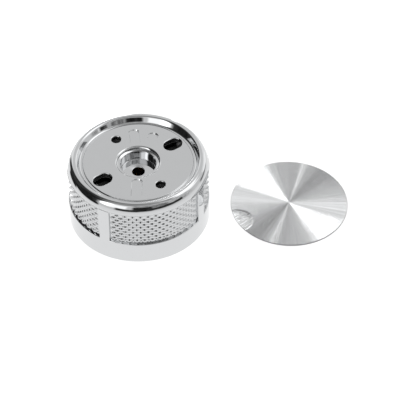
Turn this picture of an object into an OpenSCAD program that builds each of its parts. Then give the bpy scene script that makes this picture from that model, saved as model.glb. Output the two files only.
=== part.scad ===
// Round valve control knob: a chrome shell with four knurled grip pads, the hub that takes the
// valve spindle, and the loose aluminium face disc that closes the recess on top.
// Millimetres, +Z up, origin on the knob's axis at its foot. The disc lies beside the knob.

/* [Shell] */
// Outside diameter of the knob at its foot
knob_d = 49.8; // [49:0.1:51]
// Height of the flat plate in the top recess
plate_z = 24.2; // [24:0.1:26]
// Loss of radius from foot to rim, the casting's draft
draft = 0.18; // [0.1:0.02:0.3]
// Height of the rim's crown above the plate
rim_h = 1.68; // [1.5:0.02:1.8]
// Inside radius of the side wall
wall_in_r = 21; // [20.6:0.1:21.4]
// Thickness of the top plate and of the well's floor
plate_t = 2; // [1.6:0.1:2.4]

/* [Recess and well] */
// Radius of the recessed plate, inside the ring trough
plate_r = 19; // [18.8:0.05:19.2]
// Depth of the ring trough between the plate and the recess wall
trough_h = 0.3; // [0.25:0.05:0.4]
// Radius of the well above its ledge, below the rounded lip
well_r = 7.25; // [7.1:0.05:7.4]
// Radius of the well below its ledge
well_floor_r = 6.3; // [6.1:0.05:6.6]
// Depth of the ledge below the plate
ledge_depth = 0.95; // [0.9:0.05:1.2]
// Depth of the well below the plate
well_depth = 4.65; // [4.3:0.05:5]
// Radius of the well's rounded lip
lip_r = 0.85; // [0.7:0.05:0.85]
// Diameter of the hole for the retaining screw
screw_hole_d = 4.34; // [4.2:0.02:4.6]

/* [Plate openings] */
// Bearing of the first slot, anticlockwise from +X
slot_angle = 36.5; // [32:0.5:40]
// Distance of each slot's centre from the knob's axis
slot_at_r = 14.85; // [14.7:0.05:15]
// Length of a slot along the radius
slot_len = 6.9; // [6.7:0.1:7.1]
// Width of a slot
slot_w = 5; // [4.8:0.1:5.1]
// Bearing of the first cored screw hole
boss_angle = 125.4; // [124:0.2:128]
// Distance of each cored screw hole from the knob's axis
boss_at_r = 13.8; // [13.6:0.1:14]
// Diameter of a cored screw hole
core_d = 3.4; // [3.3:0.05:3.6]

/* [Grip] */
// Bearing of the first plain bar between two grip pads
bar_angle = 62.6; // [60:0.1:65]
// Angle that one grip pad covers
pad_sweep = 80.7; // [78:0.1:82]
// Height of the pads' lower edge
pad_z0 = 8.3; // [8:0.1:8.6]
// Height of the pads' upper edge
pad_z1 = 22.05; // [21.9:0.05:22.1]
// Radius at the bottom of the knurl's grooves
groove_r = 24.1; // [23.9:0.05:24.2]
// Height of the knurl's points above its grooves
knurl_h = 0.6; // [0.4:0.05:0.7]
// Columns of knurl points in a pad
knurl_columns = 25; // [17:2:27]
// Rows of knurl points in a pad
knurl_rows = 11; // [9:2:13]

/* [Hub] */
// Diameter of the round pilot bore that centres the spindle
pilot_d = 8.1; // [8:0.05:8.2]
// Teeth inside the insert
spline_teeth = 20; // [16:2:24]
// Outside radius of the brass insert
insert_r = 6.15; // [6:0.05:6.2]
// Outside radius of the black hub carrier's flange
flange_r = 18.6; // [18.4:0.1:19]

/* [Disc] */
// Diameter of the face disc
disc_d = 41.84; // [41.6:0.02:42]
// Thickness of the face disc
disc_t = 0.65; // [0.6:0.05:0.8]
// Thickness of the adhesive ring under the disc
adhesive_t = 0.15; // [0.1:0.05:0.2]
// Where the disc lies beside the knob, along X
disc_x = 53.36; // [50:0.5:70]
// Where the disc lies beside the knob, along Y
disc_y = 3.34; // [-10:0.5:10]
// Radius of the round scoop that marks the pointer
dimple_r = 5.65; // [5.2:0.05:6.2]
// Depth of the scoop
dimple_depth = 0.45; // [0.3:0.05:0.5]
// Bearing of the scoop on the disc, anticlockwise from +X
dimple_angle = 205.6; // [200:0.2:212]

/* [Hidden] */
$fn = 96;
gap = 0.03;          // clearance between pieces that rest against each other
over = 0.5;          // how far a cutting tool runs past the surface it cuts

rim_r = knob_d / 2 - draft;
rim_z = plate_z + rim_h;
crown_in_r = 21.9;
crown_out_r = 22.15;
rim_round = 1.75;                     // outer rounding next to the crown
rim_turn = 35;                        // angle at which it passes into the flatter shoulder
rim_join_r = crown_out_r + rim_round * cos(rim_turn);
rim_join_z = rim_z - rim_round * (1 - sin(rim_turn));
shoulder_round = (rim_r - rim_join_r) / (1 - cos(rim_turn));
shoulder_z = rim_join_z - shoulder_round * sin(rim_turn);
trough_z = plate_z - trough_h;
recess_lean = 60;                     // slope of the recess wall
recess_round = 0.9;                   // roundings at the wall's foot and at the crown
recess_run = (rim_h + trough_h) / tan(recess_lean) + 2 * recess_round * tan(recess_lean / 2);
plate_edge_round = 0.2;
well_floor_z = plate_z - well_depth;
cup_z0 = well_floor_z - plate_t;      // underside of the well's floor
cup_r = well_r + 1.4;                 // outside of the well's wall
plate_z0 = plate_z - plate_t;
foot_chamfer = 0.25;

glide_in_r = 22.1;
glide_out_r = 23.6;
glide_h = 1.2;

pocket_r = 23.2;                      // radius of the floor of a grip pocket
pad_back_r = pocket_r + gap;

boss_r = 3.1;
flange_z0 = 11.4;
flange_z1 = 13.4;
boss_z0 = flange_z1 + gap;
lug_z1 = plate_z0 - 1.6;
lug_gap = 0.35;                       // clearance of a lug inside its slot, seen from above
hub_r = 9.2;
hub_z0 = 5.5;
hub_z1 = 16;
insert_z0 = 0;
insert_z1 = cup_z0 - gap;
insert_flange_r = 8.3;
pilot_len = 6;
oring_groove_h = 1.6;
oring_groove_r = pilot_d / 2 + 1.2;
spline_root_r = 3.95;
spline_tip_r = 3.55;
clip_t = 0.8;
clip_z0 = hub_z0 - clip_t - gap;
clip_groove_r = insert_r - 0.6;
clip_r = 7.6;
washer_t = 0.5;
washer_r = 3.2;
thread_r = core_d / 2 - 0.1;
screw_head_r = 2.9;
screw_head_h = 1.9;
screw_tip_z = plate_z - 5;
hex_across = 3.2;

rib_w = 3;
rib_z0 = plate_z0 - 3.5;
rib_angles = [98, 269.5];
web_t = 0.9;

// Points of an arc, from one angle to another
function arc(cx, cy, r, a0, a1, steps, first = 0) = [
    for (i = [first:steps])
        let (a = a0 + (a1 - a0) * i / steps) [cx + r * cos(a), cy + r * sin(a)]
];

// Places its children at a radius and a bearing, and once more on the far side of the axis
module opposite_pair(r, bearing) {
    for (turn = [0, 180])
        rotate(bearing + turn)
            translate([r, 0, 0])
                children();
}

// A box with round ends along X, standing on z0
module slot_prism(length, width, z0, z1) {
    straight = length - width;
    translate([0, 0, z0]) {
        translate([-straight / 2, -width / 2, 0]) cube([straight, width, z1 - z0]);
        for (side = [-1, 1])
            translate([side * straight / 2, 0, 0]) cylinder(d = width, h = z1 - z0);
    }
}

// A flat ring between two heights
module ring(r_in, r_out, z0, z1) {
    translate([0, 0, z0])
        difference() {
            cylinder(r = r_out, h = z1 - z0);
            translate([0, 0, -over]) cylinder(r = r_in, h = z1 - z0 + 2 * over);
        }
}

// ---- Shell ----

// Rim in half section: shoulder, crown, recess wall, trough and the plate's rounded edge
function rim_points() = concat(
    arc(rim_r - shoulder_round, shoulder_z, shoulder_round, 0, rim_turn, 6),
    arc(crown_out_r, rim_z - rim_round, rim_round, rim_turn, 90, 8, 1),
    arc(crown_in_r, rim_z - recess_round, recess_round, 90, 90 + recess_lean, 6),
    arc(crown_in_r - recess_run, trough_z + recess_round, recess_round, 270 + recess_lean, 270, 6),
    arc(plate_r + 2 * plate_edge_round, trough_z + plate_edge_round, plate_edge_round, 270, 200, 3),
    arc(plate_r, plate_z - plate_edge_round, plate_edge_round, 20, 90, 3)
);

// Half section of the shell from the well outwards
module shell_section() {
    polygon(concat(
        [
            [screw_hole_d / 2, cup_z0], [cup_r, cup_z0], [cup_r, plate_z0], [wall_in_r, plate_z0],
            [wall_in_r, 0], [glide_in_r, 0], [glide_in_r, glide_h], [glide_out_r, glide_h],
            [glide_out_r, 0], [knob_d / 2 - foot_chamfer, 0], [knob_d / 2, foot_chamfer]
        ],
        rim_points(),
        arc(well_r + lip_r, plate_z - lip_r, lip_r, 90, 180, 8),
        [
            [well_floor_r, plate_z - ledge_depth], [well_floor_r, well_floor_z],
            [screw_hole_d / 2, well_floor_z]
        ]
    ));
}

// Recess in the side wall for one grip pad, its middle at +X
module grip_pocket() {
    rotate(-pad_sweep / 2)
        rotate_extrude(angle = pad_sweep)
            translate([pocket_r, pad_z0]) square([knob_d / 2, pad_z1 - pad_z0]);
}

// Hollow boss under the plate for a screw that comes up from the carrier
module screw_boss() {
    translate([0, 0, boss_z0]) cylinder(r = boss_r, h = plate_z0 + plate_t / 2 - boss_z0);
}

// Stiffening rib from the well's cup to the side wall
module plate_rib(bearing) {
    rotate(bearing)
        translate([cup_r - 0.5, -rib_w / 2, rib_z0])
            cube([wall_in_r - cup_r + 1, rib_w, plate_z0 - rib_z0 + plate_t / 2]);
}

module knob_shell() {
    color("gainsboro") {
        difference() {
            union() {
                rotate_extrude() shell_section();
                opposite_pair(boss_at_r, boss_angle) screw_boss();
                for (bearing = rib_angles) plate_rib(bearing);
            }
            for (quarter = [0:3]) rotate(bar_angle + 45 + 90 * quarter) grip_pocket();
            opposite_pair(slot_at_r, slot_angle)
                slot_prism(slot_len, slot_w, plate_z0 - over, plate_z + over);
            opposite_pair(boss_at_r, boss_angle)
                translate([0, 0, boss_z0 - over])
                    cylinder(d = core_d, h = plate_z - boss_z0 + 2 * over);
        }
        slot_web();
    }
}

// Thin web seen inside the slots' outer ends, part of the shell's casting
module slot_web() {
    opposite_pair(slot_at_r + slot_len / 2 - 1.4, slot_angle)
        translate([0, -web_t / 2, lug_z1 + 0.5])
            cube([wall_in_r - slot_at_r - slot_len / 2 + 1.9, web_t, plate_z0 - lug_z1 + 0.3]);
}

// ---- Grip ----

// Radius of the pad's face at a column and a row: a point or a groove, the rim always a groove
function knurl_r(col, row) =
    let (inner = col > 0 && col < knurl_columns && row > 0 && row < knurl_rows)
    inner && (col + row) % 2 == 0 ? groove_r + knurl_h : groove_r;

// A bearing and a height as a point at some radius
function on_pad(r, col, row) =
    let (
        sweep = pad_sweep - 2 * pad_gap_angle,
        a = -sweep / 2 + sweep * col / knurl_columns,
        z = pad_z0 + gap + (pad_z1 - pad_z0 - 2 * gap) * row / knurl_rows
    )
    [r * cos(a), r * sin(a), z];

pad_gap_angle = gap / pocket_r * 180 / PI;

// One curved pad, its face a field of four-sided points in staggered rows
module grip_pad() {
    stride = knurl_columns + 1;
    back = stride * (knurl_rows + 1);
    last = back - stride;
    points = concat(
        [for (row = [0:knurl_rows], col = [0:knurl_columns]) on_pad(knurl_r(col, row), col, row)],
        [for (row = [0:knurl_rows], col = [0:knurl_columns]) on_pad(pad_back_r, col, row)]
    );
    // Each cell is split along the line between its two groove corners
    front_faces = [
        for (row = [0:knurl_rows - 1], col = [0:knurl_columns - 1], half = [0, 1])
            let (p = row * stride + col, q = p + stride)
            (col + row) % 2 == 0
                ? (half == 0 ? [p, q, p + 1] : [q, q + 1, p + 1])
                : (half == 0 ? [p, q, q + 1] : [p, q + 1, p + 1])
    ];
    back_faces = [
        for (row = [0:knurl_rows - 1], col = [0:knurl_columns - 1], half = [0, 1])
            let (p = back + row * stride + col, q = p + stride)
            half == 0 ? [p, p + 1, q] : [q, p + 1, q + 1]
    ];
    end_faces = [
        for (row = [0:knurl_rows - 1], side = [0, 1], half = [0, 1])
            let (p = row * stride + side * knurl_columns, q = p + stride)
            side == 0
                ? (half == 0 ? [p, back + p, q] : [q, back + p, back + q])
                : (half == 0 ? [p, q, back + p] : [q, back + q, back + p])
    ];
    rim_faces = [
        for (col = [0:knurl_columns - 1], side = [0, 1], half = [0, 1])
            let (p = col + side * last, q = p + 1)
            side == 0
                ? (half == 0 ? [p, q, back + p] : [q, back + q, back + p])
                : (half == 0 ? [p, back + p, q] : [q, back + p, back + q])
    ];
    polyhedron(points, concat(front_faces, back_faces, end_faces, rim_faces));
}

module grip_pads() {
    color("silver")
        for (quarter = [0:3])
            rotate(bar_angle + 45 + 90 * quarter) grip_pad();
}

// ---- Hub ----

module hub_carrier() {
    color("dimgray")
        difference() {
            union() {
                translate([0, 0, hub_z0]) cylinder(r = hub_r, h = hub_z1 - hub_z0);
                translate([0, 0, flange_z0]) cylinder(r = flange_r, h = flange_z1 - flange_z0);
                opposite_pair(slot_at_r, slot_angle)
                    slot_prism(slot_len - 2 * lug_gap, slot_w - 2 * lug_gap, flange_z0, lug_z1);
            }
            translate([0, 0, hub_z0 - over])
                cylinder(r = insert_r + gap, h = hub_z1 - hub_z0 + 2 * over);
            opposite_pair(boss_at_r, boss_angle)
                translate([0, 0, flange_z0 - over])
                    cylinder(r = thread_r + 0.2, h = flange_z1 - flange_z0 + 2 * over);
        }
}

// Cutter for the toothed bore, with its teeth pointing at the axis
module spline_cutter(z0, z1) {
    pitch = 360 / spline_teeth;
    outline = [
        for (tooth = [0:spline_teeth - 1], corner = [0:3])
            let (
                r = corner < 2 ? spline_root_r : spline_tip_r,
                a = pitch * (tooth + [0.05, 0.4, 0.6, 0.85][corner])
            )
            [r * cos(a), r * sin(a)]
    ];
    translate([0, 0, z0])
        linear_extrude(z1 - z0)
            polygon(outline);
}

module spline_insert() {
    groove_z = insert_z0 + pilot_len;
    color("goldenrod")
        difference() {
            union() {
                translate([0, 0, insert_z0]) cylinder(r = insert_r, h = insert_z1 - insert_z0);
                translate([0, 0, hub_z1 + gap])
                    cylinder(r = insert_flange_r, h = insert_z1 - hub_z1 - gap);
            }
            translate([0, 0, insert_z0 - over]) cylinder(d = pilot_d, h = pilot_len + 2 * over);
            translate([0, 0, groove_z]) cylinder(r = oring_groove_r, h = oring_groove_h);
            spline_cutter(groove_z, insert_z1 + over);
            ring(clip_groove_r, insert_r + over, clip_z0 - gap, clip_z0 + clip_t + gap);
        }
}

// Open spring clip in the insert's outer groove
module insert_clip() {
    color("slategray")
        difference() {
            ring(clip_groove_r + gap, clip_r, clip_z0, clip_z0 + clip_t);
            translate([0, -1.6, clip_z0 - over]) cube([clip_r + over, 3.2, clip_t + 2 * over]);
        }
}

// Rubber ring that takes up play between spindle and insert
module spindle_oring() {
    section_r = oring_groove_h / 2 - 0.25;
    color("black")
        translate([0, 0, insert_z0 + pilot_len + oring_groove_h / 2])
            rotate_extrude()
                translate([pilot_d / 2 + section_r + gap, 0]) circle(r = section_r);
}

// Self-tapping screw, head down, with a hexagon socket
module carrier_screw() {
    head_z1 = flange_z0 - washer_t - 2 * gap;
    head_z0 = head_z1 - screw_head_h;
    difference() {
        union() {
            translate([0, 0, head_z0 + 0.5]) cylinder(r = screw_head_r, h = screw_head_h - 0.5);
            translate([0, 0, head_z0]) cylinder(r1 = screw_head_r - 0.5, r2 = screw_head_r, h = 0.5);
            translate([0, 0, head_z1 - 0.2]) cylinder(r = thread_r, h = screw_tip_z - head_z1 + 0.2);
            translate([0, 0, screw_tip_z]) cylinder(r1 = thread_r, r2 = 0.4, h = 1.4);
        }
        translate([0, 0, head_z0 - over])
            cylinder(d = hex_across / cos(30), h = 1.2 + over, $fn = 6);
    }
}

module carrier_screws() {
    color("silver") opposite_pair(boss_at_r, boss_angle) carrier_screw();
}

module screw_washers() {
    color("lightgray")
        opposite_pair(boss_at_r, boss_angle)
            ring(thread_r + 0.15, washer_r, flange_z0 - washer_t - gap, flange_z0 - gap);
}

// ---- Foot ----

module foot_glide_ring() {
    color("white") ring(glide_in_r + gap, glide_out_r - gap, 0, glide_h - gap);
}

// ---- Disc ----

// Spun disc with a shallow round scoop at its edge as the pointer
module face_disc() {
    disc_r = disc_d / 2;
    scoop_r = (dimple_r * dimple_r + dimple_depth * dimple_depth) / (2 * dimple_depth);
    scoop_at = disc_r - 0.38;
    top_z = adhesive_t + disc_t;
    color("lightsteelblue")
        translate([disc_x, disc_y, 0])
            difference() {
                translate([0, 0, adhesive_t]) cylinder(r = disc_r, h = disc_t);
                rotate(dimple_angle)
                    translate([scoop_at, 0, top_z + scoop_r - dimple_depth])
                        sphere(r = scoop_r, $fn = 240);
            }
}

// Double-sided adhesive ring on the back of the disc
module disc_adhesive() {
    color("beige")
        translate([disc_x, disc_y, 0])
            ring(disc_d / 2 - 3.6, disc_d / 2 - 0.5, 0, adhesive_t);
}

knob_shell();
grip_pads();
hub_carrier();
spline_insert();
insert_clip();
spindle_oring();
carrier_screws();
screw_washers();
foot_glide_ring();
face_disc();
disc_adhesive();
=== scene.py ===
import math

import bmesh
import bpy
from mathutils import Matrix, Vector


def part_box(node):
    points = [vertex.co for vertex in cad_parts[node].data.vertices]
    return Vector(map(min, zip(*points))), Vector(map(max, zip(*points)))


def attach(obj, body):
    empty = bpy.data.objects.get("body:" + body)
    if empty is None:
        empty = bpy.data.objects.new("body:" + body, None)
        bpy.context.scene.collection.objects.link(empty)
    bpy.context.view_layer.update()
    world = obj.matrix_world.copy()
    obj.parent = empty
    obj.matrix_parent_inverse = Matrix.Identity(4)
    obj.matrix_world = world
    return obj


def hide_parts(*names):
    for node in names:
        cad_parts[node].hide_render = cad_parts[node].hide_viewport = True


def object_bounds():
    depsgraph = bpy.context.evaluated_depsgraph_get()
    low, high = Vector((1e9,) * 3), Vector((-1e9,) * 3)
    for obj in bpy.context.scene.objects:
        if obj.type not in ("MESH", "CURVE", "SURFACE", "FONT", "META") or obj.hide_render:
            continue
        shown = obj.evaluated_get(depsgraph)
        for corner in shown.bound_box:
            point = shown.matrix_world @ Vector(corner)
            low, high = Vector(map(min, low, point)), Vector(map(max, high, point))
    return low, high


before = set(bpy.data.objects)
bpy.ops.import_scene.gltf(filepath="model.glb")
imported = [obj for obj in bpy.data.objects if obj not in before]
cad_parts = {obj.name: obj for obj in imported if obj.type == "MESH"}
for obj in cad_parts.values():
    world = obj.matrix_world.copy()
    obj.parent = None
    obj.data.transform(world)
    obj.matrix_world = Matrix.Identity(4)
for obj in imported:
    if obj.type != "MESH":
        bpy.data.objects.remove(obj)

cad_low, cad_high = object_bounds()

# ---- Sizes, in millimetres and degrees, hung on the CAD boxes ----

MM = 0.001
shell_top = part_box("knob_shell")[1]
disc_low, disc_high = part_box("face_disc")

# Side wall and rim
FOOT_R = shell_top.y / MM               # outside radius at the foot
TOP_Z = shell_top.z / MM                # crown of the rim
DRAFT = 0.18                            # the side wall's loss of radius up to the rim
DRAFT_RISE = 22.0                       # height over which it loses that much
RIM_R = FOOT_R - DRAFT                  # outside radius where the rim's rounding starts
CROWN = (21.9, 22.15)                   # flat crown, from radius to radius
RIM_TOP_ROUND = 1.75                    # outer rounding next to the crown
RIM_TOP_TURN = 35.0                     # where it passes into the flatter rounding below
RIM_END_TURN = 5.0                      # where that one passes into the side wall
WALL_R = 21.0                           # inside of the side wall
FOOT_ROUND = 0.25
GLIDE_GROOVE = (22.1, 23.6)             # groove in the foot for the glide ring
GLIDE_DEPTH = 1.2

# Recess and plate
RECESS_ROUND = 0.9                      # roundings at the foot and the top of the recess wall
RECESS_LEAN = 60.0                      # slope of the recess wall
PLATE_Z = 24.2
PLATE_R = 19.0
PLATE_T = 2.0
UNDER_Z = PLATE_Z - PLATE_T
TROUGH_Z = PLATE_Z - 0.3                # ring trough between the plate and the recess wall
TROUGH_ROUND = 0.2

# Well in the plate, with the cup under it
WELL_R = 7.25
WELL_FLOOR_R = 6.3
WELL_FLOOR_Z = PLATE_Z - 4.65
WELL_LIP = 0.85
FLOOR_ROUND = 0.25
LEDGE_Z = PLATE_Z - 0.95                # narrow ledge in the well's wall
LEDGE_ROUND = 0.15
CUP_R = WELL_R + 1.4
CUP_Z = WELL_FLOOR_Z - PLATE_T
SCREW_HOLE_R = 2.17
SCREW_HOLE_ROUND = 0.2

# Openings in the plate, and what stands under it
SLOT_BEARING = 36.5
SLOT_AT_R = 14.85
SLOT_LENGTH = 6.9
SLOT_WIDTH = 5.0
CORE_BEARING = 125.4
CORE_AT_R = 13.8
CORE_R = 1.7
BOSS_R = 3.1
BOSS_Z = 13.43
LIP = 0.32                              # rounding where an opening meets the plate
PLATED_Z = UNDER_Z + 0.3                # the plating stops here in an opening
WEB_SIZE = (0.9, 1.9)                   # thickness and height of the web in a slot's outer end
WEB_Z = UNDER_Z - 0.15                  # its middle
RIB_SIZE = (3.0, 3.6)                   # thickness and height of a rib under the plate
RIB_Z = UNDER_Z - 1.7                   # its middle
RIB_BEARINGS = (98, 269.5)

# Marks that the ribs leave on top of the plate
MARK_DEPTH = 0.06
END_MARK_DEPTH = 0.42                   # depth of the crescent round a mark's end
END_MARK_SWEEP = 124
END_MARK_TOP = (-0.28, 0.4)             # its inner and outer offset in the plate
END_MARK_FLOOR = (-0.24, -0.12)         # and at its bottom

# Pockets in the side wall and the grip pads in them
BAR_BEARING = 62.6                      # bearing of the first plain bar between two grip pads
BARS = [BAR_BEARING + 90 * k for k in range(4)]
BAR_REACH = 3                           # full wall on each side of a bar's middle
PAD_SWEEP = 80.7
PAD_Z = (8.3, 22.05)
POCKET_R = 23.2
POCKET_DEPTH = FOOT_R - POCKET_R
POCKET_WALL = 0.012                     # width over which a pocket's wall drops
BED_STEPS = 80                          # vertices round the bed of a pocket
EDGE_ROUND = 0.25                       # rounding of a pocket's outer edge
GAP = 0.03                              # between a pad and its pocket
GROOVE_R = 24.1
KNURL_HEIGHT = 0.6
KNURL_COLUMNS = 25
KNURL_ROWS = 11
POINT_ROUND = 0.1                       # rounding of the knurl's points and ridges, in cells

# Face disc
DISC_CENTRE = (disc_low + disc_high) / 2 / MM
DISC_R = (disc_high.x - disc_low.x) / 2 / MM
DISC_Z = (disc_low.z / MM, disc_high.z / MM)
DISC_CHAMFER = 0.06
DISC_STEPS = 480                        # vertices round the disc
SCOOP_R = 5.65
SCOOP_DEPTH = 0.45
SCOOP_EDGE = 1.0                        # width of the scoop's rounded border
SCOOP_BEARING = 205.6
SCOOP_AT_R = DISC_R - 0.38


# ---- Mesh helpers ----

FINISHED = 0                            # material slot of a plated or spun surface
RAW = 1                                 # material slot of the inside, or of a cut edge and back


def even(start, end, steps):
    """Evenly spaced numbers from start to end, both included."""
    return [start + (end - start) * i / steps for i in range(steps + 1)]


def polar(radius, bearing, z):
    a = math.radians(bearing)
    return Vector((radius * math.cos(a), radius * math.sin(a), z))


def arc(centre, radius, start, end, steps):
    """Points (x, y) of an arc, angles in degrees, both ends included."""
    turns = [math.radians(angle) for angle in even(start, end, steps)]
    return [(centre[0] + radius * math.cos(a), centre[1] + radius * math.sin(a)) for a in turns]


def new_loop(bm, points):
    return [bm.verts.new(Vector(p)) for p in points]


def bridge(bm, lower, upper, slot=FINISHED):
    """Quads between two closed loops of vertices."""
    for i in range(len(lower)):
        j = (i + 1) % len(lower)
        face = bm.faces.new((lower[i], lower[j], upper[j], upper[i]))
        face.material_index = slot


def revolve(bm, bearings, profile, slot=FINISHED, first=None):
    """Adds rings for the (radius, z) points and joins them, going on from the ring first."""
    ring = first
    for radius, z in profile:
        following = new_loop(bm, [polar(radius, b, z) for b in bearings])
        if ring:
            bridge(bm, ring, following, slot)
        ring = following
    return ring


def fill_flat(bm, loops, slot=FINISHED):
    """Triangles over a flat region: the first loop bounds it and the others are holes in it."""
    edges = []
    for loop in loops:
        for i, vert in enumerate(loop):
            pair = (vert, loop[(i + 1) % len(loop)])
            edges.append(bm.edges.get(pair) or bm.edges.new(pair))
    made = bmesh.ops.triangle_fill(bm, use_beauty=True, use_dissolve=False, edges=edges)
    for face in made["geom"]:
        if isinstance(face, bmesh.types.BMFace):
            face.material_index = slot


def link_new_object(name, bm):
    """A scene object made from a bmesh, which this frees."""
    mesh = bpy.data.meshes.new(name)
    bm.to_mesh(mesh)
    bm.free()
    made = bpy.data.objects.new(name, mesh)
    bpy.context.scene.collection.objects.link(made)
    return made


def make_piece(name, bm, materials, body, node, sharp_deg=32):
    """Turns a bmesh in millimetres into a smooth piece that stands for a CAD node."""
    bmesh.ops.recalc_face_normals(bm, faces=bm.faces)
    bmesh.ops.scale(bm, vec=(MM, MM, MM), verts=bm.verts)
    piece = link_new_object(name, bm)
    piece.data.shade_smooth()
    piece.data.set_sharp_from_angle(angle=math.radians(sharp_deg))
    for material in materials:
        piece.data.materials.append(material)
    flatten = piece.modifiers.new("flat_faces_stay_flat", "WEIGHTED_NORMAL")
    flatten.keep_sharp = True
    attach(piece, body)
    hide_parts(node)


# ---- Shader helpers ----

class Nodes:
    """Short calls for building a node tree."""

    def __init__(self, tree):
        self.tree = tree
        tree.nodes.clear()

    def add(self, kind, settings=None, **inputs):
        """A node with some settings, and with numbers, vectors or sockets for its inputs."""
        node = self.tree.nodes.new(kind)
        for key, value in (settings or {}).items():
            setattr(node, key, value)
        for key, value in inputs.items():
            self.feed(node.inputs[key], value)
        return node

    def feed(self, socket, value):
        if isinstance(value, bpy.types.NodeSocket):
            self.tree.links.new(value, socket)
        else:
            socket.default_value = value

    def math(self, operation, *values):
        node = self.add("ShaderNodeMath", {"operation": operation})
        for socket, value in zip(node.inputs, values):
            self.feed(socket, value)
        return node.outputs[0]

    def length(self, x, y):
        """Distance of (x, y) from the origin."""
        squares = self.math("ADD", self.math("MULTIPLY", x, x), self.math("MULTIPLY", y, y))
        return self.math("SQRT", squares)

    def remap(self, value, low, high, to_low=0.0, to_high=1.0, smooth=False):
        node = self.add("ShaderNodeMapRange")
        node.interpolation_type = "SMOOTHSTEP" if smooth else "LINEAR"
        for socket, v in zip(node.inputs, (value, low, high, to_low, to_high)):
            self.feed(socket, v)
        return node.outputs[0]

    def blend(self, factor, a, b):
        """A number that goes from a to b as factor goes from 0 to 1."""
        node = self.add("ShaderNodeMix")
        for socket, v in zip((node.inputs[0], node.inputs[2], node.inputs[3]), (factor, a, b)):
            self.feed(socket, v)
        return node.outputs[0]

    def blend_vector(self, factor, a, b):
        """The same for a vector."""
        node = self.add("ShaderNodeMix", {"data_type": "VECTOR"})
        for socket, v in zip((node.inputs[0], node.inputs[4], node.inputs[5]), (factor, a, b)):
            self.feed(socket, v)
        return node.outputs[1]

    def tint(self, factor, a, b):
        """The same for a colour."""
        node = self.add("ShaderNodeMix", {"data_type": "RGBA"})
        for socket, v in zip((node.inputs[0], node.inputs[6], node.inputs[7]), (factor, a, b)):
            self.feed(socket, v)
        return node.outputs[2]

    def noise(self, vector, scale, detail=2.0, rough=0.5):
        node = self.add("ShaderNodeTexNoise", Vector=vector, Scale=scale, Detail=detail, Roughness=rough)
        return node.outputs[0]

    def bump(self, height, distance, strength=1.0, normal=None):
        node = self.add("ShaderNodeBump", Height=height, Distance=distance, Strength=strength)
        if normal is not None:
            self.feed(node.inputs["Normal"], normal)
        return node.outputs[0]

    def position(self):
        return self.add("ShaderNodeTexCoord").outputs["Object"]

    def stretched(self, vector, scale):
        return self.add("ShaderNodeMapping", Vector=vector, Scale=scale).outputs[0]

    def turned(self, vector, degrees):
        angles = (0, 0, math.radians(degrees))
        return self.add("ShaderNodeMapping", Vector=vector, Rotation=angles).outputs[0]

    def is_camera_ray(self):
        return self.add("ShaderNodeLightPath").outputs["Is Camera Ray"]

    def finish(self, kind, shader):
        """Feeds a shader to the tree's output."""
        output = self.add(kind)
        self.feed(output.inputs["Surface"], shader.outputs[0])


def grey(value, warm=0.0):
    return (value * (1 + warm), value, value * (1 - warm), 1.0)


def empty_material(name):
    material = bpy.data.materials.new(name)
    material.use_nodes = True
    return material, Nodes(material.node_tree)


def new_material(name, metallic=0.0):
    material, nodes = empty_material(name)
    shader = nodes.add("ShaderNodeBsdfPrincipled", Metallic=metallic)
    nodes.finish("ShaderNodeOutputMaterial", shader)
    return material, nodes, shader


# ---- Materials ----

CHROME = 0.62                           # share of light that the plating sends back
RINGS_PER_METRE = 16000.0
RING_LEAN = 0.80                        # steepest slope in a ring of the spun face


def chrome(name, roughness):
    """Bright plating: a faint ripple from the casting under it, hairline polish marks and thin haze."""
    material, nodes, shader = new_material(name, metallic=1.0)
    place = nodes.position()
    haze = nodes.noise(place, 260.0, 3.0)
    hairlines = nodes.noise(nodes.stretched(place, (900.0, 900.0, 9000.0)), 1.0)
    ripple = nodes.noise(place, 420.0, 1.0)
    colour = nodes.tint(haze, grey(CHROME * 0.985, -0.012), grey(CHROME * 1.015, -0.012))
    nodes.feed(shader.inputs["Base Color"], colour)
    nodes.feed(shader.inputs["Roughness"], nodes.remap(haze, 0.3, 0.7, roughness, roughness * 1.8))
    fine = nodes.bump(hairlines, 0.000002, 0.25)
    nodes.feed(shader.inputs["Normal"], nodes.bump(ripple, 0.00001, 0.5, fine))
    return material


def dull_casting():
    """The inside of the shell, where plating hardly reaches."""
    material, nodes, shader = new_material("dull_casting")
    place = nodes.position()
    grain = nodes.noise(place, 3000.0, 4.0, 0.6)
    stain = nodes.noise(place, 300.0, 3.0)
    nodes.feed(shader.inputs["Base Color"], nodes.tint(stain, grey(0.06), grey(0.14)))
    nodes.feed(shader.inputs["Roughness"], nodes.remap(grain, 0.3, 0.7, 0.5, 0.75))
    nodes.feed(shader.inputs["Normal"], nodes.bump(grain, 0.00004, 0.6))
    return material


def leaning_normal(nodes, outward, lean):
    """The surface's normal, leaned outwards by a slope."""
    tilt = nodes.add("ShaderNodeVectorMath", {"operation": "SCALE"})
    nodes.feed(tilt.inputs[0], outward)
    nodes.feed(tilt.inputs["Scale"], lean)
    to_world = nodes.add("ShaderNodeVectorTransform", {
        "vector_type": "VECTOR", "convert_from": "OBJECT", "convert_to": "WORLD"})
    nodes.feed(to_world.inputs[0], tilt.outputs[0])
    leaning = nodes.add("ShaderNodeVectorMath", {"operation": "ADD"})
    nodes.feed(leaning.inputs[0], nodes.add("ShaderNodeNewGeometry").outputs["Normal"])
    nodes.feed(leaning.inputs[1], to_world.outputs[0])
    normal = nodes.add("ShaderNodeVectorMath", {"operation": "NORMALIZE"})
    nodes.feed(normal.inputs[0], leaning.outputs[0])
    return normal.outputs[0]


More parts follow.
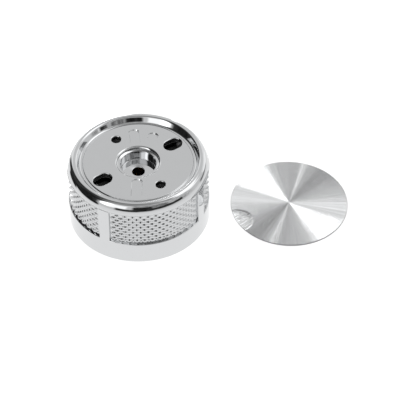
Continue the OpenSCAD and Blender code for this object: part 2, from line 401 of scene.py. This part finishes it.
def spun_aluminium():
    """Face turned in fine rings. Each ring leans in or out by its own small angle, so the room's
    lights fan out in rays round the centre."""
    material, nodes, shader = new_material("spun_aluminium", metallic=1.0)
    split = nodes.add("ShaderNodeSeparateXYZ", Vector=nodes.position())
    x = nodes.math("SUBTRACT", split.outputs[0], DISC_CENTRE.x * MM)
    y = nodes.math("SUBTRACT", split.outputs[1], DISC_CENTRE.y * MM)
    radius = nodes.length(x, y)
    outward = nodes.add("ShaderNodeCombineXYZ")
    nodes.feed(outward.inputs[0], nodes.math("DIVIDE", x, radius))
    nodes.feed(outward.inputs[1], nodes.math("DIVIDE", y, radius))

    # A little wander along each ring keeps the rings from being perfect circles of one tone
    along = nodes.add("ShaderNodeCombineXYZ")
    nodes.feed(along.inputs[0], radius)
    nodes.feed(along.inputs[1], nodes.math("MULTIPLY", nodes.noise(outward.outputs[0], 3.0), 0.0004))
    fine = nodes.math("FRACT", nodes.math("MULTIPLY", radius, RINGS_PER_METRE))
    coarse = nodes.noise(along.outputs[0], 2500.0)
    lean = nodes.math("ADD", nodes.remap(fine, 0.0, 1.0, -RING_LEAN, RING_LEAN),
                      nodes.remap(coarse, 0.3, 0.7, -0.08, 0.08))
    spun = leaning_normal(nodes, outward.outputs[0], lean)

    # The scoop is pressed after turning, so its grain is a set of short streaks of its own
    scoop = polar(SCOOP_AT_R, SCOOP_BEARING, 0) * MM
    away = nodes.length(nodes.math("SUBTRACT", x, scoop.x), nodes.math("SUBTRACT", y, scoop.y))
    inside = nodes.remap(away, SCOOP_R * MM, (SCOOP_R - 0.3) * MM, smooth=True)
    turned = nodes.turned(nodes.position(), -35)
    streaks = nodes.noise(nodes.stretched(turned, (300.0, 1700.0, 1.0)), 1.0)
    pressed = nodes.bump(streaks, 0.0002)

    rays = nodes.noise(outward.outputs[0], 22.0, 4.0, 0.65)
    grain = nodes.noise(nodes.position(), 5000.0)
    tone = nodes.math("ADD", nodes.remap(rays, 0.35, 0.65, 0.0, 0.6), nodes.math("MULTIPLY", fine, 0.4))
    nodes.feed(shader.inputs["Base Color"], nodes.tint(tone, grey(0.63, -0.01), grey(0.83, -0.01)))
    nodes.feed(shader.inputs["Roughness"], nodes.remap(grain, 0.3, 0.7, 0.10, 0.16))
    nodes.feed(shader.inputs["Normal"], nodes.blend_vector(inside, spun, pressed))
    return material


def turned_metal(name, colour, roughness):
    """Lathe-turned metal with tool rings and slight stains."""
    material, nodes, shader = new_material(name, metallic=1.0)
    place = nodes.position()
    rings = nodes.noise(nodes.stretched(place, (300.0, 300.0, 9000.0)), 1.0)
    stain = nodes.noise(place, 500.0, 3.0)
    dark = tuple(c * 0.8 for c in colour) + (1.0,)
    nodes.feed(shader.inputs["Base Color"], nodes.tint(stain, dark, (*colour, 1.0)))
    nodes.feed(shader.inputs["Roughness"], nodes.remap(stain, 0.3, 0.7, roughness, roughness * 1.5))
    nodes.feed(shader.inputs["Normal"], nodes.bump(rings, 0.00001, 0.5))
    return material


def moulded(name, colour, roughness):
    """Plastic, rubber or tape: fine moulded grain and a slight change of shade."""
    material, nodes, shader = new_material(name)
    place = nodes.position()
    grain = nodes.noise(place, 4000.0, 4.0, 0.6)
    shade = nodes.noise(place, 250.0)
    dark = tuple(c * 0.75 for c in colour) + (1.0,)
    nodes.feed(shader.inputs["Base Color"], nodes.tint(shade, dark, (*colour, 1.0)))
    nodes.feed(shader.inputs["Roughness"], nodes.remap(grain, 0.3, 0.7, roughness, roughness + 0.15))
    nodes.feed(shader.inputs["Normal"], nodes.bump(grain, 0.00003, 0.5))
    return material


# ---- Shell ----

def edge_stations():
    """(distance past a pocket's edge, depth below the outer surface) across the rounded edge."""
    turns = [math.radians(angle) for angle in even(0, 90, 6)]
    rounded = [(EDGE_ROUND * (math.sin(t) - 1), EDGE_ROUND * (1 - math.cos(t))) for t in turns]
    return rounded + [(POCKET_WALL, POCKET_DEPTH)]


def pocket_bearings():
    """Bearings round the shell, each with the depth that its pockets allow there."""
    mm_per_degree = math.radians(FOOT_R)
    edge = [(distance / mm_per_degree, depth) for distance, depth in edge_stations()]
    edge_sweep = edge[-1][0]
    stations = []
    for bar in BARS:
        low = bar + 45 - PAD_SWEEP / 2
        high = bar + 45 + PAD_SWEEP / 2
        stations += [(b, 0.0) for b in even(bar - BAR_REACH, bar + BAR_REACH, 6)]
        stations += [(low + d, depth) for d, depth in edge]
        bed = even(low + edge_sweep, high - edge_sweep, BED_STEPS)[1:-1]
        stations += [(b, POCKET_DEPTH) for b in bed]
        stations += [(high - d, depth) for d, depth in reversed(edge)]
    return stations


def pocket_heights(low_z, high_z):
    """Heights up the side wall, each with the depth that a pocket allows there."""
    edge = edge_stations()
    below = [(z, 0.0) for z in even(low_z, PAD_Z[0] - EDGE_ROUND, 6)[:-1]]
    inside = [(z, POCKET_DEPTH) for z in even(PAD_Z[0] + 1, PAD_Z[1] - 1, 8)]
    above = [(z, 0.0) for z in even(PAD_Z[1] + EDGE_ROUND, high_z, 4)[1:]]
    return (below + [(PAD_Z[0] + d, depth) for d, depth in edge] + inside
            + [(PAD_Z[1] - d, depth) for d, depth in reversed(edge)] + above)


def wall_radius(z):
    return FOOT_R - DRAFT * z / DRAFT_RISE


def well_profile():
    """(radius, z) up the screw hole, over the well's floor and ledge, and on to the plate."""
    hole_edge = arc((SCREW_HOLE_R + SCREW_HOLE_ROUND, WELL_FLOOR_Z - SCREW_HOLE_ROUND),
                    SCREW_HOLE_ROUND, 180, 90, 4)
    floor_edge = arc((WELL_FLOOR_R - FLOOR_ROUND, WELL_FLOOR_Z + FLOOR_ROUND), FLOOR_ROUND, -90, 0, 6)
    ledge = arc((WELL_FLOOR_R + LEDGE_ROUND, LEDGE_Z - LEDGE_ROUND), LEDGE_ROUND, 180, 95, 5)
    lip = arc((WELL_R + WELL_LIP, PLATE_Z - WELL_LIP), WELL_LIP, 180, 90, 12)

    # Rings in the straight walls keep their shading straight
    hole = [(SCREW_HOLE_R, CUP_Z + 0.6)]
    wall = [(WELL_FLOOR_R, WELL_FLOOR_Z + 1), (WELL_FLOOR_R, LEDGE_Z - 1)]
    return hole + hole_edge + floor_edge + wall + ledge + [(WELL_R - 0.08, LEDGE_Z + 0.06)] + lip


def rim_profile():
    """(radius, z) from the plate's edge through the trough and over the rim to the side wall."""
    lean = math.radians(RECESS_LEAN)
    wall_top = arc((CROWN[0], TOP_Z - RECESS_ROUND), RECESS_ROUND, 90 + RECESS_LEAN, 90, 12)
    wall_top_r, wall_top_z = wall_top[0]
    rise = wall_top_z - TROUGH_Z - RECESS_ROUND * (1 - math.cos(lean))
    foot_r = wall_top_r - rise / math.tan(lean) - RECESS_ROUND * math.sin(lean)
    wall_foot = arc((foot_r, TROUGH_Z + RECESS_ROUND), RECESS_ROUND, 270, 270 + RECESS_LEAN, 12)

    plate_edge = arc((PLATE_R, PLATE_Z - TROUGH_ROUND), TROUGH_ROUND, 90, 20, 5)
    trough_edge_r = PLATE_R + 2 * TROUGH_ROUND
    trough_edge = arc((trough_edge_r, TROUGH_Z + TROUGH_ROUND), TROUGH_ROUND, 200, 270, 5)

    shoulder = arc((CROWN[1], TOP_Z - RIM_TOP_ROUND), RIM_TOP_ROUND, 90, RIM_TOP_TURN, 16)
    shoulder_r, shoulder_z = shoulder[-1]
    turn = math.radians(RIM_TOP_TURN)
    flatter = (RIM_R - shoulder_r) / (1 - math.cos(turn))
    centre = (RIM_R - flatter, shoulder_z - flatter * math.sin(turn))
    side = arc(centre, flatter, RIM_TOP_TURN, RIM_END_TURN, 12)[1:]
    return plate_edge + trough_edge + wall_foot + wall_top + shoulder + side


def outline(length, width, grow, at_r, bearing, z):
    """A slot's outline, or a circle's where length equals width, grown outwards by grow."""
    radius = width / 2 + grow
    half = (length - width) / 2
    if half:
        points = arc((half, 0), radius, -90, 90, 14) + arc((-half, 0), radius, 90, 270, 14)
    else:
        points = arc((0, 0), radius, 0, 360, 28)[:-1]
    turn = Matrix.Rotation(math.radians(bearing), 3, "Z")
    return [turn @ Vector((at_r + x, y, z)) for x, y in points]


def cut_opening(bm, length, width, at_r, bearing, bottom_z):
    """Wall of an opening with a rounded lip. Returns its loops in the plate and at the bottom."""
    loops = []
    for angle in even(0, 90, 6):
        t = math.radians(angle)
        grow = LIP * (1 - math.sin(t))
        z = PLATE_Z - LIP * (1 - math.cos(t))
        loops.append(new_loop(bm, outline(length, width, grow, at_r, bearing, z)))
    for z in (PLATED_Z, bottom_z):
        loops.append(new_loop(bm, outline(length, width, 0, at_r, bearing, z)))
    for upper, lower in zip(loops[:-2], loops[1:]):
        bridge(bm, upper, lower)
    bridge(bm, loops[-2], loops[-1], RAW)
    return loops[0], loops[-1]


def cut_slot(bm, bearing):
    return cut_opening(bm, SLOT_LENGTH, SLOT_WIDTH, SLOT_AT_R, bearing, UNDER_Z)


def core_boss(bm, bearing):
    """A boss under the plate with the cored hole in it. Returns its loops above and below."""
    top, low = cut_opening(bm, 2 * CORE_R, 2 * CORE_R, CORE_AT_R, bearing, BOSS_Z)
    boss = [new_loop(bm, outline(2 * BOSS_R, 2 * BOSS_R, 0, CORE_AT_R, bearing, z))
            for z in (BOSS_Z, UNDER_Z)]
    bridge(bm, low, boss[0], RAW)
    bridge(bm, boss[0], boss[1], RAW)
    return top, boss[1]


def sink_mark(bm, upper, lower):
    """A shallow mark sunk into the plate. Returns the loop in which it meets the plate."""
    edge = new_loop(bm, upper)
    bottom = new_loop(bm, lower)
    bridge(bm, edge, bottom)
    fill_flat(bm, [bottom])
    return edge


def rib_mark(bm, length, width, at_r, bearing):
    """Outline that a rib under the plate leaves on top of it."""
    return sink_mark(bm, outline(length, width, MARK_DEPTH, at_r, bearing, PLATE_Z),
                     outline(length, width, 0, at_r, bearing, PLATE_Z - MARK_DEPTH))


def crescent(centre, radius, aim, offsets, z):
    """Outline of a band round a point, between two offsets from a radius that pinch at its ends."""
    inner, outer = offsets
    there = []
    back = []
    for t in even(0, 1, 20):
        swell = 0.12 + 0.88 * math.sin(math.pi * t) ** 0.7
        bearing = aim + END_MARK_SWEEP * (t - 0.5)
        there.append(centre + polar(radius + outer * swell, bearing, z))
        back.append(centre + polar(radius + inner * swell, bearing, z))
    return there + back[::-1]


def end_mark(bm, at_r, bearing, radius, aim):
    """Deeper crescent round the end of a rib's mark, its outer side sloping down gently."""
    centre = polar(at_r, bearing, 0)
    return sink_mark(bm, crescent(centre, radius, aim, END_MARK_TOP, PLATE_Z),
                     crescent(centre, radius, aim, END_MARK_FLOOR, PLATE_Z - END_MARK_DEPTH))


def add_bar(bm, start_r, end_r, bearing, z, size):
    """A bar under the plate, from radius to radius, with its (thickness, height) as size."""
    turn = Matrix.Rotation(math.radians(bearing), 4, "Z")
    stretch = Matrix.Diagonal((end_r - start_r, *size, 1))
    place = Matrix.Translation(polar((start_r + end_r) / 2, bearing, z)) @ turn @ stretch
    made = bmesh.ops.create_cube(bm, size=1, matrix=place)
    for face in {f for v in made["verts"] for f in v.link_faces}:
        face.material_index = RAW


def side_wall(bm, stations, ring, top_z):
    """Side wall with its pockets, down from a ring at the rim. Returns the ring at the foot."""
    for z, z_depth in reversed(pocket_heights(FOOT_ROUND, top_z)):
        points = [polar(wall_radius(z) - min(depth, z_depth), b, z) for b, depth in stations]
        following = new_loop(bm, points)
        bridge(bm, ring, following)
        ring = following
    return ring


def build_shell(materials):
    """The plated shell. Its second material is for the inside."""
    bm = bmesh.new()
    stations = pocket_bearings()
    bearings = [b for b, _ in stations]

    # Well: from the underside of the screw hole up to the plate
    hole_ring = revolve(bm, bearings, [(SCREW_HOLE_R, CUP_Z)])
    well_edge = revolve(bm, bearings, well_profile(), FINISHED, hole_ring)

    # Top: trough, recess wall, crown, side wall with its pockets, foot and inside of the wall
    profile = rim_profile()
    plate_edge = revolve(bm, bearings, profile[:1])
    ring = revolve(bm, bearings, profile[1:], FINISHED, plate_edge)
    ring = side_wall(bm, stations, ring, profile[-1][1])
    foot = arc((FOOT_R - FOOT_ROUND, FOOT_ROUND), FOOT_ROUND, -15, -90, 5)
    ring = revolve(bm, bearings, foot, FINISHED, ring)
    inner, outer = GLIDE_GROOVE
    groove = [(outer, 0.0), (outer, GLIDE_DEPTH), (inner, GLIDE_DEPTH), (inner, 0.0), (WALL_R, 0.0)]
    ring = revolve(bm, bearings, groove, RAW, ring)
    under_edge = revolve(bm, bearings, [(WALL_R, UNDER_Z)], RAW, ring)

    # Cup under the well
    cup_top = revolve(bm, bearings, [(CUP_R, UNDER_Z)])
    cup_low = revolve(bm, bearings, [(CUP_R, CUP_Z)], RAW, cup_top)
    bridge(bm, cup_low, hole_ring, RAW)

    # Slots, cored holes and the ribs' marks, then the plate's two faces round them
    plate_loops = [plate_edge, well_edge]
    under_loops = [under_edge, cup_top]
    for side in (0, 180):
        for top, low in (cut_slot(bm, SLOT_BEARING + side), core_boss(bm, CORE_BEARING + side)):
            plate_loops.append(top)
            under_loops.append(low)
    plate_loops += [
        rib_mark(bm, 7.5, 3.4, 12.2, 97), end_mark(bm, 14.25, 97, 2.05, 97),
        rib_mark(bm, 3.4, 3.4, 13.3, 69), end_mark(bm, 13.3, 69, 2.05, 75),
        rib_mark(bm, 9.4, 3.6, 13.75, 269.5), end_mark(bm, 10.85, 269.5, 2.1, 89.5),
    ]
    fill_flat(bm, plate_loops)
    fill_flat(bm, under_loops, RAW)

    # Webs in the slots' outer ends and ribs under the plate, each reaching into the side wall
    for side in (0, 180):
        web_r = SLOT_AT_R + SLOT_LENGTH / 2 - 1.4
        add_bar(bm, web_r, WALL_R + 0.3, SLOT_BEARING + side, WEB_Z, WEB_SIZE)
    for bearing in RIB_BEARINGS:
        add_bar(bm, CUP_R - 0.3, WALL_R + 0.3, bearing, RIB_Z, RIB_SIZE)
    make_piece("chrome_shell", bm, materials, "knob", "knob_shell")


# ---- Grip pads ----

SAMPLES = 6                             # samples across one cell of the knurl
COLUMNS = KNURL_COLUMNS * SAMPLES
ROWS = KNURL_ROWS * SAMPLES


def knurl_height(u, v):
    """0 in a groove to 1 on a point, for a place counted in cells."""
    best = 0.0
    for col in (math.floor(u), math.floor(u) + 1):
        for row in (math.floor(v), math.floor(v) + 1):
            inner = 0 < col < KNURL_COLUMNS and 0 < row < KNURL_ROWS
            if inner and (col + row) % 2 == 0:
                du = math.hypot(u - col, POINT_ROUND) - POINT_ROUND * 0.4
                dv = math.hypot(v - row, POINT_ROUND) - POINT_ROUND * 0.4
                best = max(best, 1.0 - du - dv)
    return best


def knurled_face(bm, bearings, heights):
    """Outer face of a pad, split along the ridges. Returns its rows of vertices."""
    face = []
    for j, z in enumerate(heights):
        radii = [GROOVE_R + KNURL_HEIGHT * knurl_height(i / SAMPLES, j / SAMPLES)
                 for i in range(COLUMNS + 1)]
        face.append(new_loop(bm, [polar(r, b, z) for r, b in zip(radii, bearings)]))
    for j in range(ROWS):
        for i in range(COLUMNS):
            a, b, c, d = face[j][i], face[j][i + 1], face[j + 1][i + 1], face[j + 1][i]
            falling = (i // SAMPLES + j // SAMPLES) % 2 == 0
            halves = ((a, b, d), (b, c, d)) if falling else ((a, b, c), (a, c, d))
            for half in halves:
                bm.faces.new(half)
    return face


def close_pad(bm, face):
    """Edge and curved back of a pad, in the bed of its pocket."""
    right = [row[-1] for row in face[1:]]
    left = [row[0] for row in reversed(face[1:-1])]
    rim = face[0] + right + face[-1][-2::-1] + left
    back = []
    for vert in rim:
        flat = Vector((vert.co.x, vert.co.y, 0)).normalized() * (POCKET_R + GAP)
        back.append(bm.verts.new((flat.x, flat.y, vert.co.z)))
    bridge(bm, rim, back)

    # The back is a row of upright strips. The first and the last take in the pad's two sides
    for i in range(COLUMNS):
        top = 2 * COLUMNS + ROWS - i
        right_side = back[COLUMNS + 1:COLUMNS + ROWS] if i == COLUMNS - 1 else []
        left_side = back[2 * COLUMNS + ROWS + 1:] if i == 0 else []
        bm.faces.new([back[i], back[i + 1], *right_side, back[top - 1], back[top], *left_side])


def build_pads(material):
    """Four curved pads whose faces are fields of four-sided points in staggered rows."""
    bm = bmesh.new()
    half_sweep = PAD_SWEEP / 2 - math.degrees(GAP / POCKET_R)
    heights = even(PAD_Z[0] + GAP, PAD_Z[1] - GAP, ROWS)
    for bar in BARS:
        bearings = even(bar + 45 - half_sweep, bar + 45 + half_sweep, COLUMNS)
        close_pad(bm, knurled_face(bm, bearings, heights))
    make_piece("knurled_pads", bm, [material], "knob", "grip_pads", 50)


# ---- Face disc ----

def scoop_drop(point):
    """How far the finger scoop lowers the disc's face at a place counted from the disc's centre."""
    away = math.hypot(*(point - polar(SCOOP_AT_R, SCOOP_BEARING, 0))[:2])
    if away >= SCOOP_R:
        return 0.0
    edge = min(1.0, (SCOOP_R - away) / SCOOP_EDGE)
    return SCOOP_DEPTH * (0.3 * edge * (2 - edge) + 0.7 * (1 - (away / SCOOP_R) ** 2))


def build_disc(materials):
    """The spun disc. Its second material is for the cut edge and the back."""
    bm = bmesh.new()
    centre = Vector((DISC_CENTRE.x, DISC_CENTRE.y, 0))
    bottom_z, top_z = DISC_Z
    flat_r = DISC_R - DISC_CHAMFER

    def ring(radius, z, drop=lambda point: 0.0):
        points = [polar(radius, bearing, 0) for bearing in even(0, 360, DISC_STEPS)[:-1]]
        return new_loop(bm, [centre + p + Vector((0, 0, z - drop(p))) for p in points])

    # Rings from the middle of the face to its edge, closer together where the scoop is
    radii = even(0.5, 12, 23) + even(12.5, flat_r, 36)
    face = [ring(radius, top_z, scoop_drop) for radius in radii]
    edge = [ring(DISC_R, top_z - DISC_CHAMFER, scoop_drop),
            ring(DISC_R, bottom_z + DISC_CHAMFER),
            ring(flat_r, bottom_z)]
    middle = bm.verts.new(centre + Vector((0, 0, top_z)))
    for i, vert in enumerate(face[0]):
        bm.faces.new((middle, vert, face[0][(i + 1) % DISC_STEPS]))
    for inner, outer in zip(face, face[1:]):
        bridge(bm, inner, outer)
    for upper, lower in zip(face[-1:] + edge, edge):
        bridge(bm, upper, lower, RAW)
    fill_flat(bm, edge[-1:], RAW)
    make_piece("spun_disc", bm, materials, "disc", "face_disc")


# ---- Studio ----

ROOM_LIGHT = 1.26                       # brightness of the whole studio
CLUTTERED_BELOW = 0.5                   # things darker than this are uneven in brightness

# What stands round the table, as seen from it. In degrees: azimuth and rise of the middle, half
# width and half height. Then brightness, and the softness of the edge in degrees. Azimuth 0 is
# behind the pieces, 90 is on the right, and the camera is at 180.
CARDS = (
    (-34, 17, 15, 22, 0.88, 3),             # pale wall, back left
    (35, 17, 15, 22, 0.88, 3),              # pale wall, back right
    (47, 10, 12.5, 15, 1.05, 1.5),          # board leaning on it
    (140, 66, 42, 11, 0.45, 8),             # paler ceiling on the right
    (-26, 62, 28, 8, 0.16, 5),              # dark beam in the ceiling
    (-62, 60, 26, 9, 0.045, 5),             # its black end
    (48, 58, 40, 8, 1.5, 4),                # white reflector, high on the right
    (74, 46, 14, 14, 1.15, 5),              # its near end, hanging lower
    (118, 30, 24, 28, 0.48, 6),             # grey wall, right
    (146, 28, 13, 24, 0.2, 5),              # doorway in it
    (-81, 25, 39, 35, 0.035, 4),            # black flag, left
    (-98, 20, 14, 30, 0.015, 5),            # its nearest fold
    (-82, -4, 40, 5, 0.012, 2),             # its foot on the table
    (-67, -10, 12, 8, 0.02, 2),             # corner of the foot
    (-143, 27, 20, 18, 1.25, 3),            # soft box, front left
    (-149, 52, 20, 9, 0.8, 5),              # its upper edge
    (-132, 28, 7, 19, 2.0, 3),              # its lamp
    (173, 17, 15, 17, 0.02, 3),             # camera and the dark room behind it
    (172, 46, 14, 11, 0.24, 6),             # ceiling above the camera
    (140, 8.5, 28, 6.5, 0.03, 1.5),         # dark edge of the table, right
    (62, -4, 13, 5, 0.2, 3),                # stand behind it
    (-164, 5, 17, 7, 0.03, 3),              # dark edge of the table, front left
    (-14.2, -18, 9.7, 24, 4.2, 1.5),        # window light that rakes over the table, back
    (8.3, -14, 0.9, 28, 2.2, 0.7),          # narrow gap of light beside it
)


def studio_world():
    """A white room with pale cards and dark flags round it. The camera itself sees plain white."""
    world = bpy.data.worlds.new("studio")
    bpy.context.scene.world = world
    world.use_nodes = True
    nodes = Nodes(world.node_tree)
    direction = nodes.add("ShaderNodeTexCoord").outputs["Generated"]
    split = nodes.add("ShaderNodeSeparateXYZ", Vector=direction)
    bearing = nodes.math("ARCTAN2", split.outputs[0], split.outputs[1])
    azimuth = nodes.math("MULTIPLY", bearing, math.degrees(1))
    rise = nodes.math("MULTIPLY", nodes.math("ARCSINE", split.outputs[2]), math.degrees(1))

    # Grey ceiling, pale wall, and the white table below the horizon
    level = nodes.remap(rise, 54.0, 62.0, 0.64, 0.30, smooth=True)
    table = nodes.remap(rise, -8.0, -30.0, 0.79, 0.88)
    level = nodes.blend(nodes.remap(rise, -2.0, -7.0, smooth=True), level, table)

    clutter = nodes.noise(nodes.stretched(direction, (1.0, 1.0, 2.2)), 9.0, 3.0, 0.6)
    for card_azimuth, card_rise, half_width, half_height, value, soft in CARDS:
        away = nodes.math("WRAP", nodes.math("SUBTRACT", azimuth, card_azimuth), 180.0, -180.0)
        up = nodes.math("SUBTRACT", rise, card_rise)
        across = nodes.remap(nodes.math("ABSOLUTE", away), half_width + soft, half_width - soft,
                             smooth=True)
        along = nodes.remap(nodes.math("ABSOLUTE", up), half_height + soft, half_height - soft,
                            smooth=True)
        if value < CLUTTERED_BELOW:
            value = nodes.math("MULTIPLY", nodes.remap(clutter, 0.35, 0.65, 0.4, 1.7), value)
        level = nodes.blend(nodes.math("MULTIPLY", across, along), level, value)

    level = nodes.math("MULTIPLY", level, ROOM_LIGHT)
    seen = nodes.is_camera_ray()
    shade = nodes.add("ShaderNodeCombineColor")
    for socket in shade.inputs:
        nodes.feed(socket, nodes.blend(seen, level, 1.0))
    background = nodes.add("ShaderNodeBackground", Color=shade.outputs[0])
    nodes.finish("ShaderNodeOutputWorld", background)


def stage_surface(name, bm, depth, material):
    """A surface of the studio, at a depth in metres below the pieces."""
    surface = link_new_object(name, bm)
    surface.location.z = cad_low.z - depth
    surface.data.materials.append(material)
    return surface


def studio_floor():
    """White table under the pieces. The pieces' own shine comes from the room, not from this plane."""
    material, nodes = empty_material("floor")
    lit = nodes.add("ShaderNodeEmission", Color=(1, 1, 1, 1), Strength=0.9)
    matte = nodes.add("ShaderNodeBsdfDiffuse", Color=(0.3, 0.3, 0.3, 1))
    both = nodes.add("ShaderNodeAddShader")
    nodes.feed(both.inputs[0], lit.outputs[0])
    nodes.feed(both.inputs[1], matte.outputs[0])
    paper = nodes.add("ShaderNodeBsdfDiffuse", Color=(0.6, 0.6, 0.6, 1))
    mix = nodes.add("ShaderNodeMixShader")
    nodes.feed(mix.inputs[0], nodes.is_camera_ray())
    nodes.feed(mix.inputs[1], paper.outputs[0])
    nodes.feed(mix.inputs[2], both.outputs[0])
    nodes.finish("ShaderNodeOutputMaterial", mix)
    bm = bmesh.new()
    bmesh.ops.create_grid(bm, x_segments=2, y_segments=2, size=3.0)
    stage_surface("floor", bm, 0.00002, material).visible_glossy = False


def knob_shadow():
    """What the pieces inside the knob see below them: the table in the knob's own shadow."""
    material, nodes = empty_material("shadow")
    black = nodes.add("ShaderNodeBsdfDiffuse", Color=(0.01, 0.01, 0.01, 1))
    nodes.finish("ShaderNodeOutputMaterial", black)
    bm = bmesh.new()
    bmesh.ops.create_circle(bm, cap_ends=True, segments=64, radius=(FOOT_R - 1) * MM)
    stage_surface("shadow", bm, 0.00001, material)


CAMERA_RISE = 45.18                     # degrees above the table
CAMERA_DISTANCE = 0.6217                # metres from the point it looks at
LOOK_AT = (0.02148, 0.0053, 0.0)
LENS = 155.9                            # focal length in millimetres
SENSOR = 36.0                           # width in millimetres


def studio_camera():
    """A long lens above the front, looking down at both pieces."""
    rise = math.radians(CAMERA_RISE)
    data = bpy.data.cameras.new("camera")
    data.sensor_width = SENSOR
    data.lens = LENS
    camera = bpy.data.objects.new("camera", data)
    bpy.context.scene.collection.objects.link(camera)
    backwards = Vector((0, -math.cos(rise), math.sin(rise)))
    camera.location = Vector(LOOK_AT) + CAMERA_DISTANCE * backwards
    camera.rotation_euler = (math.pi / 2 - rise, 0, 0)
    bpy.context.scene.camera = camera


# ---- Carried-over CAD nodes ----

def finish_node(name, material, bevel=0.0):
    """Gives a CAD node its material, and rounds its edges a little."""
    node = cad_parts[name]
    node.data.materials.clear()
    node.data.materials.append(material)
    if bevel:
        rounding = node.modifiers.new("edge_rounding", "BEVEL")
        rounding.width = bevel * MM
        rounding.segments = 2
        rounding.limit_method = "ANGLE"
        rounding.angle_limit = math.radians(40)


build_shell([chrome("chrome_plating", 0.022), dull_casting()])
build_pads(chrome("chrome_knurl", 0.10))
# The disc's cut edge gets metal far darker than bare aluminium. This is painted shade, so the edge shows
# as a thin dark line.
build_disc([spun_aluminium(), turned_metal("cut_edge_painted_shade", (0.3, 0.3, 0.31), 0.3)])
finish_node("hub_carrier", moulded("black_nylon", (0.02, 0.02, 0.02), 0.5), bevel=0.15)
finish_node("spline_insert", turned_metal("turned_brass", (0.78, 0.6, 0.28), 0.25))
finish_node("insert_clip", turned_metal("spring_steel", (0.3, 0.3, 0.32), 0.3))
finish_node("spindle_oring", moulded("nitrile_rubber", (0.015, 0.015, 0.015), 0.6))
finish_node("carrier_screws", turned_metal("stainless_screw", (0.6, 0.6, 0.62), 0.25))
finish_node("screw_washers", turned_metal("stainless_washer", (0.58, 0.58, 0.6), 0.3))
finish_node("foot_glide_ring", moulded("white_acetal", (0.8, 0.8, 0.78), 0.4))
finish_node("disc_adhesive", moulded("adhesive_tape", (0.8, 0.76, 0.62), 0.5))

studio_world()
studio_floor()
knob_shadow()
studio_camera()
bpy.context.scene.view_settings.view_transform = "Standard"
